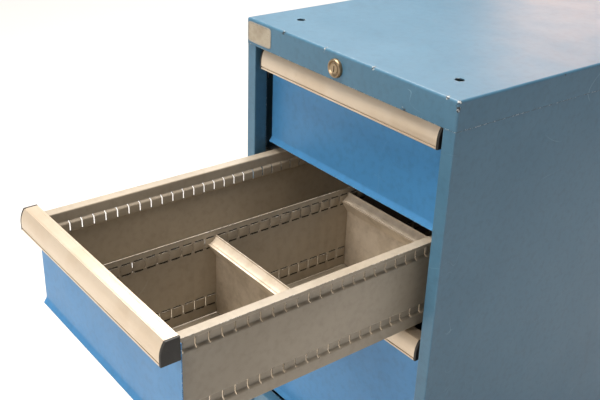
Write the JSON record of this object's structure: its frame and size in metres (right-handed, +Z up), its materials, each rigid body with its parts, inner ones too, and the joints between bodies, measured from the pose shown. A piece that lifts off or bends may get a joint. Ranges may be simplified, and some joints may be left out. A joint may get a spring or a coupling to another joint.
{
  "type": "rolling tool chest",
  "caption": "Steel drawer cabinet on casters with full-width aluminium pull handles, a cam lock, and slotted drawers with adjustable dividers.",
  "frame": {"origin": "on the floor, under the middle of the housing", "axes": "+X to the right seen from the front, +Y to the back, +Z up"},
  "size_m": [0.411, 1.0933, 0.855],
  "materials": {
    "housing_paint": "semi-gloss grey-blue powder coat",
    "front_paint": "semi-gloss blue powder coat",
    "tray_paint": "satin warm grey powder coat",
    "handle_aluminium": "satin anodised extrusion",
    "black_plastic": "grained moulded plastic",
    "divider_steel": "bright zinc-plated sheet",
    "zinc_steel": "zinc-plated steel",
    "roller_nylon": "natural nylon",
    "lock_nickel": "worn nickel-plated brass",
    "plate_cream": "blank cream name plate",
    "wheel_rubber": "black solid rubber"
  },
  "bodies": {
    "housing": {"top_cap": "housing_paint", "side_panel_left": "housing_paint", "side_panel_right": "housing_paint", "back_panel": "housing_paint", "base_pan": "housing_paint", "bottom_rail": "housing_paint", "name_plate": "plate_cream", "lock_barrel": "lock_nickel", "lock_nut": "zinc_steel", "slide_rails_left": "zinc_steel", "slide_rails_right": "zinc_steel", "caster_beams": "housing_paint", "caster_plates": "zinc_steel", "caster_bolts": "zinc_steel", "fork_rear_left": "zinc_steel", "fork_rear_right": "zinc_steel", "axle_bolts_rear": "zinc_steel"},
    "lock_plug": {"lock_plug": "lock_nickel", "lock_cam": "zinc_steel"},
    "lock_bar": {"lock_bar": "zinc_steel"},
    "drawer_1": {"tray_1": "tray_paint", "front_wall_1": "tray_paint", "back_wall_1": "tray_paint", "front_panel_1": "front_paint", "handle_1": "handle_aluminium", "handle_caps_1": "black_plastic", "roller_brackets_1": "tray_paint"},
    "front_rollers_1": {"front_rollers_1": "roller_nylon"},
    "rear_rollers_1": {"rear_rollers_1": "roller_nylon"},
    "drawer_2": {"tray_2": "tray_paint", "front_wall_2": "tray_paint", "back_wall_2": "tray_paint", "front_panel_2": "front_paint", "handle_2": "handle_aluminium", "handle_caps_2": "black_plastic", "roller_brackets_2": "tray_paint", "partition": "tray_paint", "divider_front": "divider_steel", "divider_rear": "divider_steel"},
    "front_rollers_2": {"front_rollers_2": "roller_nylon"},
    "rear_rollers_2": {"rear_rollers_2": "roller_nylon"},
    "drawer_3": {"tray_3": "tray_paint", "front_wall_3": "tray_paint", "back_wall_3": "tray_paint", "front_panel_3": "front_paint", "handle_3": "handle_aluminium", "handle_caps_3": "black_plastic", "roller_brackets_3": "tray_paint"},
    "front_rollers_3": {"front_rollers_3": "roller_nylon"},
    "rear_rollers_3": {"rear_rollers_3": "roller_nylon"},
    "fork_front_left": {"fork_front_left": "zinc_steel", "axle_bolt_front_left": "zinc_steel"},
    "brake_pedal_front_left": {"brake_pedal_front_left": "zinc_steel"},
    "fork_front_right": {"fork_front_right": "zinc_steel", "axle_bolt_front_right": "zinc_steel"},
    "brake_pedal_front_right": {"brake_pedal_front_right": "zinc_steel"},
    "wheel_front_left": {"wheel_front_left": "wheel_rubber"},
    "wheel_front_right": {"wheel_front_right": "wheel_rubber"},
    "wheel_rear_left": {"wheel_rear_left": "wheel_rubber"},
    "wheel_rear_right": {"wheel_rear_right": "wheel_rubber"}
  },
  "joints": [
    {"name": "drawer_1_slide", "type": "slide", "parent": "housing", "child": "drawer_1", "axis": [0, -1, 0], "range_m": [0, 0.522]},
    {"name": "drawer_2_slide", "type": "slide", "parent": "housing", "child": "drawer_2", "axis": [0, -1, 0], "range_m": [-0.372, 0.15]},
    {"name": "drawer_3_slide", "type": "slide", "parent": "housing", "child": "drawer_3", "axis": [0, -1, 0], "range_m": [0, 0.522]},
    {"name": "front_rollers_1_spin", "type": "hinge", "parent": "housing", "child": "front_rollers_1", "pos_m": [0, -0.3105, 0.796], "axis": [1, 0, 0], "continuous": true},
    {"name": "rear_rollers_1_spin", "type": "hinge", "parent": "drawer_1", "child": "rear_rollers_1", "pos_m": [0, 0.2641, 0.7865], "axis": [1, 0, 0], "continuous": true},
    {"name": "front_rollers_2_spin", "type": "hinge", "parent": "housing", "child": "front_rollers_2", "pos_m": [0, -0.3105, 0.646], "axis": [1, 0, 0], "continuous": true},
    {"name": "rear_rollers_2_spin", "type": "hinge", "parent": "drawer_2", "child": "rear_rollers_2", "pos_m": [0, -0.1079, 0.6365], "axis": [1, 0, 0], "continuous": true},
    {"name": "front_rollers_3_spin", "type": "hinge", "parent": "housing", "child": "front_rollers_3", "pos_m": [0, -0.3105, 0.496], "axis": [1, 0, 0], "continuous": true},
    {"name": "rear_rollers_3_spin", "type": "hinge", "parent": "drawer_3", "child": "rear_rollers_3", "pos_m": [0, 0.2641, 0.4865], "axis": [1, 0, 0], "continuous": true},
    {"name": "lock_turn", "type": "hinge", "parent": "housing", "child": "lock_plug", "pos_m": [-0.0055, -0.3625, 0.835], "axis": [0, -1, 0], "range_deg": [0, 90]},
    {"name": "lock_bar_slide", "type": "slide", "parent": "housing", "child": "lock_bar", "axis": [1, 0, 0], "range_m": [0, 0.01]},
    {"name": "caster_swivel_front_left", "type": "hinge", "parent": "housing", "child": "fork_front_left", "pos_m": [-0.1435, -0.2965, 0.11], "axis": [0, 0, 1], "continuous": true},
    {"name": "wheel_spin_front_left", "type": "hinge", "parent": "fork_front_left", "child": "wheel_front_left", "pos_m": [-0.1435, -0.2645, 0.05], "axis": [1, 0, 0], "continuous": true},
    {"name": "brake_pedal_front_left_lift", "type": "hinge", "parent": "fork_front_left", "child": "brake_pedal_front_left", "pos_m": [-0.1435, -0.2425, 0.104], "axis": [1, 0, 0], "range_deg": [0, 18]},
    {"name": "caster_swivel_front_right", "type": "hinge", "parent": "housing", "child": "fork_front_right", "pos_m": [0.1435, -0.2965, 0.11], "axis": [0, 0, 1], "continuous": true},
    {"name": "wheel_spin_front_right", "type": "hinge", "parent": "fork_front_right", "child": "wheel_front_right", "pos_m": [0.1435, -0.2645, 0.05], "axis": [1, 0, 0], "continuous": true},
    {"name": "brake_pedal_front_right_lift", "type": "hinge", "parent": "fork_front_right", "child": "brake_pedal_front_right", "pos_m": [0.1435, -0.2425, 0.104], "axis": [1, 0, 0], "range_deg": [0, 18]},
    {"name": "wheel_spin_rear_left", "type": "hinge", "parent": "housing", "child": "wheel_rear_left", "pos_m": [-0.1435, 0.2965, 0.05], "axis": [1, 0, 0], "continuous": true},
    {"name": "wheel_spin_rear_right", "type": "hinge", "parent": "housing", "child": "wheel_rear_right", "pos_m": [0.1435, 0.2965, 0.05], "axis": [1, 0, 0], "continuous": true}
  ],
  "couplings": [
    {"joint": "front_rollers_1_spin", "follows": "drawer_1_slide", "rad_per_m": 111.11},
    {"joint": "rear_rollers_1_spin", "follows": "drawer_1_slide", "rad_per_m": 90.909},
    {"joint": "front_rollers_2_spin", "follows": "drawer_2_slide", "rad_per_m": 111.11},
    {"joint": "rear_rollers_2_spin", "follows": "drawer_2_slide", "rad_per_m": 90.909},
    {"joint": "front_rollers_3_spin", "follows": "drawer_3_slide", "rad_per_m": 111.11},
    {"joint": "rear_rollers_3_spin", "follows": "drawer_3_slide", "rad_per_m": 90.909},
    {"joint": "lock_turn", "follows": "lock_bar_slide", "rad_per_m": 157.08}
  ]
}
